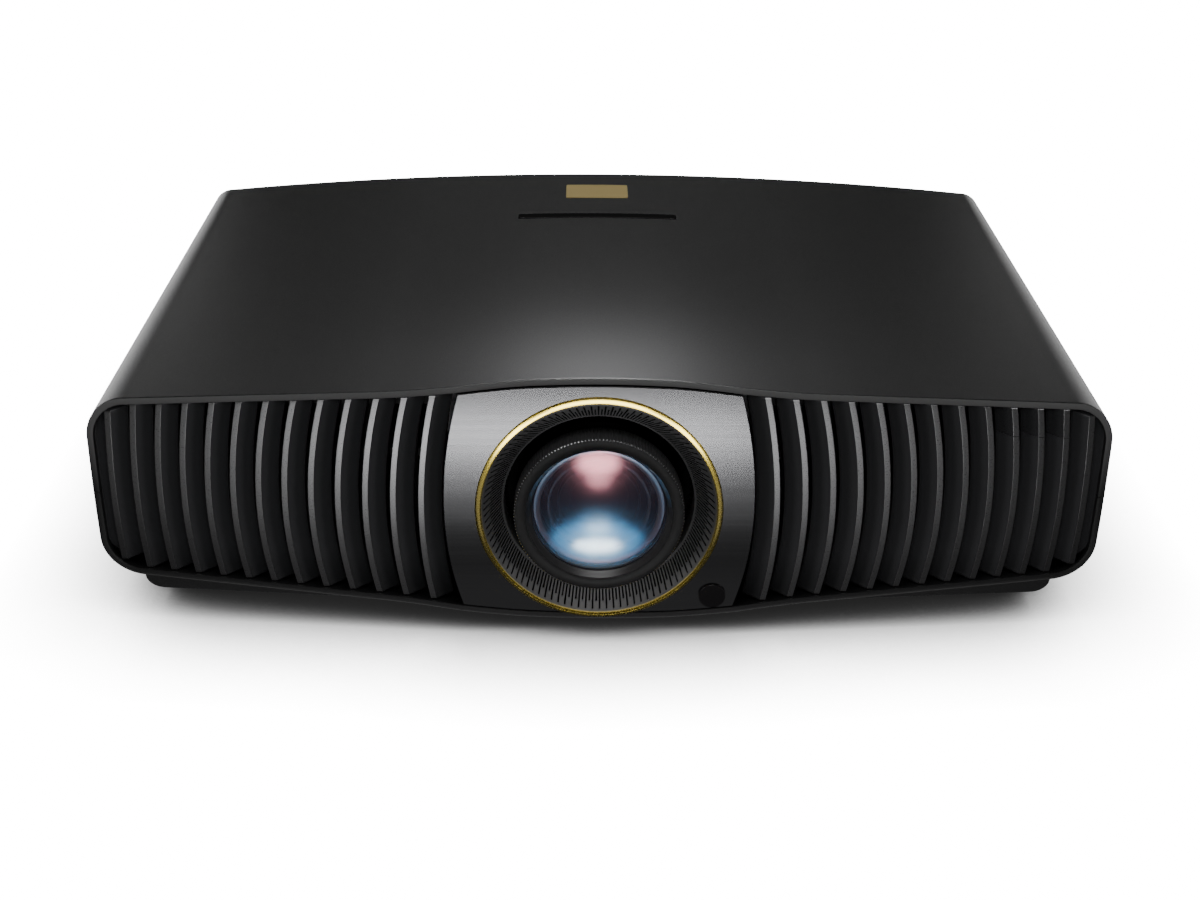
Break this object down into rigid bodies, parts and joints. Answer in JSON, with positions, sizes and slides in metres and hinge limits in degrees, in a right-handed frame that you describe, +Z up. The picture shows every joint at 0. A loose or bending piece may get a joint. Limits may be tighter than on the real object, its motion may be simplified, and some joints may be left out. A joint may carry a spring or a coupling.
{
  "type": "home cinema projector",
  "caption": "Wide, low home-cinema projector with a curved louvred front, gold-ringed centre lens, motorised lens shift, focus and zoom, screw feet and a side keypad.",
  "frame": {"origin": "on the standing surface, under the middle of the case's bounding box", "axes": "+X along the width, to the right as seen from the front; -Y is where the lens points; +Z up"},
  "size_m": [0.492, 0.351, 0.1405],
  "materials": {
    "case": "satin",
    "base": "matte",
    "grille": "satin",
    "panel": "brushed",
    "gold": "polished",
    "funnel": "matte",
    "window": "gloss",
    "badge": "brushed",
    "alloy": "satin",
    "steel": "satin",
    "motor": "satin",
    "fan": "matte",
    "board": "satin",
    "plate_metal": "satin",
    "socket": "matte",
    "keypad": "matte",
    "key": "satin",
    "screw": "satin",
    "brass": "satin",
    "foot": "matte",
    "carriage": "satin",
    "barrel": "matte",
    "gear": "satin",
    "glass": "polished",
    "wheel": "polished"
  },
  "bodies": {
    "chassis": {"bottom_case": "case", "base_skids": "base", "top_cover": "case", "rear_panel": "base", "left_grille": "grille", "right_grille": "grille", "lens_panel": "panel", "lens_ring": "gold", "lens_funnel": "funnel", "ir_window": "window", "status_light_caps": "grille", "top_badge": "badge", "shift_frame": "alloy", "x_guide_rods": "steel", "x_shift_motor": "motor", "engine_housing": "alloy", "dmd_heatsink": "alloy", "light_module": "alloy", "light_heatsink": "alloy", "exhaust_fan_frame": "fan", "intake_fan_frame": "fan", "main_board": "board", "power_supply": "plate_metal", "video_ports": "plate_metal", "data_ports": "plate_metal", "power_inlet": "socket", "keypad_bezel": "keypad", "case_screws": "screw", "ceiling_inserts": "brass", "rear_feet": "foot"},
    "x_slider": {"x_carriage": "carriage", "z_guide_rods": "steel", "z_shift_motor": "motor"},
    "x_screw": {"x_leadscrew": "steel"},
    "z_screw": {"z_leadscrew": "steel"},
    "lens_unit": {"z_carriage": "carriage", "lens_barrel": "barrel", "focus_motor": "motor", "zoom_motor": "motor"},
    "focus_gear": {"focus_ring": "barrel"},
    "focus_drive": {"focus_pinion": "gear"},
    "front_group": {"front_cell": "barrel", "front_lens": "glass"},
    "zoom_gear": {"zoom_ring": "barrel"},
    "zoom_drive": {"zoom_pinion": "gear"},
    "wheel": {"colour_wheel": "wheel"},
    "exhaust_rotor": {"exhaust_fan_rotor": "fan"},
    "intake_rotor": {"intake_fan_rotor": "fan"},
    "left_pad": {"left_foot_pad": "foot"},
    "left_stud": {"left_foot_stud": "steel"},
    "right_pad": {"right_foot_pad": "foot"},
    "right_stud": {"right_foot_stud": "steel"},
    "power_key": {"power_button": "key"},
    "menu_key": {"menu_button": "key"},
    "back_key": {"back_button": "key"},
    "ok_key": {"ok_button": "key"},
    "up_key": {"up_button": "key"},
    "down_key": {"down_button": "key"},
    "left_key": {"left_button": "key"},
    "right_key": {"right_button": "key"}
  },
  "joints": [
    {"name": "x_shift", "type": "slide", "parent": "chassis", "child": "x_slider", "axis": [1, 0, 0], "range_m": [-0.0024, 0.0024]},
    {"name": "x_screw_spin", "type": "hinge", "parent": "chassis", "child": "x_screw", "pos_m": [0, -0.068, 0.12], "axis": [1, 0, 0], "range_deg": [-870, 870]},
    {"name": "z_shift", "type": "slide", "parent": "x_slider", "child": "lens_unit", "axis": [0, 0, 1], "range_m": [-0.0034, 0.0034]},
    {"name": "z_screw_spin", "type": "hinge", "parent": "x_slider", "child": "z_screw", "pos_m": [-0.05, -0.068, 0.06], "axis": [0, 0, 1], "range_deg": [-1230, 1230]},
    {"name": "focus_turn", "type": "hinge", "parent": "lens_unit", "child": "focus_gear", "pos_m": [0, -0.146, 0.072], "axis": [0, 1, 0], "range_deg": [-40, 40]},
    {"name": "focus_pinion_spin", "type": "hinge", "parent": "lens_unit", "child": "focus_drive", "pos_m": [0.026, -0.146, 0.11703], "axis": [0, 1, 0], "range_deg": [-320, 320]},
    {"name": "focus_travel", "type": "slide", "parent": "lens_unit", "child": "front_group", "axis": [0, 1, 0], "range_m": [-0.0016, 0.0016]},
    {"name": "zoom_turn", "type": "hinge", "parent": "lens_unit", "child": "zoom_gear", "pos_m": [0, -0.13, 0.072], "axis": [0, 1, 0], "range_deg": [-30, 30]},
    {"name": "zoom_pinion_spin", "type": "hinge", "parent": "lens_unit", "child": "zoom_drive", "pos_m": [-0.024, -0.13, 0.11357], "axis": [0, 1, 0], "range_deg": [-220, 220]},
    {"name": "wheel_spin", "type": "hinge", "parent": "chassis", "child": "wheel", "pos_m": [0.063, 0.002, 0.09], "axis": [1, 0, 0], "continuous": true},
    {"name": "exhaust_spin", "type": "hinge", "parent": "chassis", "child": "exhaust_rotor", "pos_m": [0.152, -0.122, 0.073], "axis": [0, 1, 0], "continuous": true},
    {"name": "intake_spin", "type": "hinge", "parent": "chassis", "child": "intake_rotor", "pos_m": [-0.152, -0.122, 0.073], "axis": [0, 1, 0], "continuous": true},
    {"name": "left_foot_lift", "type": "slide", "parent": "chassis", "child": "left_pad", "axis": [0, 0, -1], "range_m": [0, 0.01]},
    {"name": "left_foot_screw", "type": "hinge", "parent": "left_pad", "child": "left_stud", "pos_m": [-0.19, -0.112, 0.006], "axis": [0, 0, 1], "range_deg": [-2900, 10]},
    {"name": "right_foot_lift", "type": "slide", "parent": "chassis", "child": "right_pad", "axis": [0, 0, -1], "range_m": [0, 0.01]},
    {"name": "right_foot_screw", "type": "hinge", "parent": "right_pad", "child": "right_stud", "pos_m": [0.19, -0.112, 0.006], "axis": [0, 0, 1], "range_deg": [-2900, 10]},
    {"name": "power_press", "type": "slide", "parent": "chassis", "child": "power_key", "axis": [1, 0, 0], "range_m": [0, 0.0008], "stiffness_N_per_m": 800, "springref_m": -0.0004},
    {"name": "menu_press", "type": "slide", "parent": "chassis", "child": "menu_key", "axis": [1, 0, 0], "range_m": [0, 0.0008], "stiffness_N_per_m": 800, "springref_m": -0.0004},
    {"name": "back_press", "type": "slide", "parent": "chassis", "child": "back_key", "axis": [1, 0, 0], "range_m": [0, 0.0008], "stiffness_N_per_m": 800, "springref_m": -0.0004},
    {"name": "ok_press", "type": "slide", "parent": "chassis", "child": "ok_key", "axis": [1, 0, 0], "range_m": [0, 0.0008], "stiffness_N_per_m": 800, "springref_m": -0.0004},
    {"name": "up_press", "type": "slide", "parent": "chassis", "child": "up_key", "axis": [1, 0, 0], "range_m": [0, 0.0008], "stiffness_N_per_m": 800, "springref_m": -0.0004},
    {"name": "down_press", "type": "slide", "parent": "chassis", "child": "down_key", "axis": [1, 0, 0], "range_m": [0, 0.0008], "stiffness_N_per_m": 800, "springref_m": -0.0004},
    {"name": "left_press", "type": "slide", "parent": "chassis", "child": "left_key", "axis": [1, 0, 0], "range_m": [0, 0.0008], "stiffness_N_per_m": 800, "springref_m": -0.0004},
    {"name": "right_press", "type": "slide", "parent": "chassis", "child": "right_key", "axis": [1, 0, 0], "range_m": [0, 0.0008], "stiffness_N_per_m": 800, "springref_m": -0.0004}
  ],
  "couplings": [
    {"joint": "x_screw_spin", "follows": "x_shift", "rad_per_m": 6283.2},
    {"joint": "z_screw_spin", "follows": "z_shift", "rad_per_m": 6283.2},
    {"joint": "focus_pinion_spin", "follows": "focus_turn", "ratio": -7.6667},
    {"joint": "focus_travel", "follows": "focus_turn", "m_per_rad": 0.00215},
    {"joint": "zoom_pinion_spin", "follows": "zoom_turn", "ratio": -7},
    {"joint": "left_foot_screw", "follows": "left_foot_lift", "rad_per_m": -5026.5},
    {"joint": "right_foot_screw", "follows": "right_foot_lift", "rad_per_m": -5026.5}
  ]
}
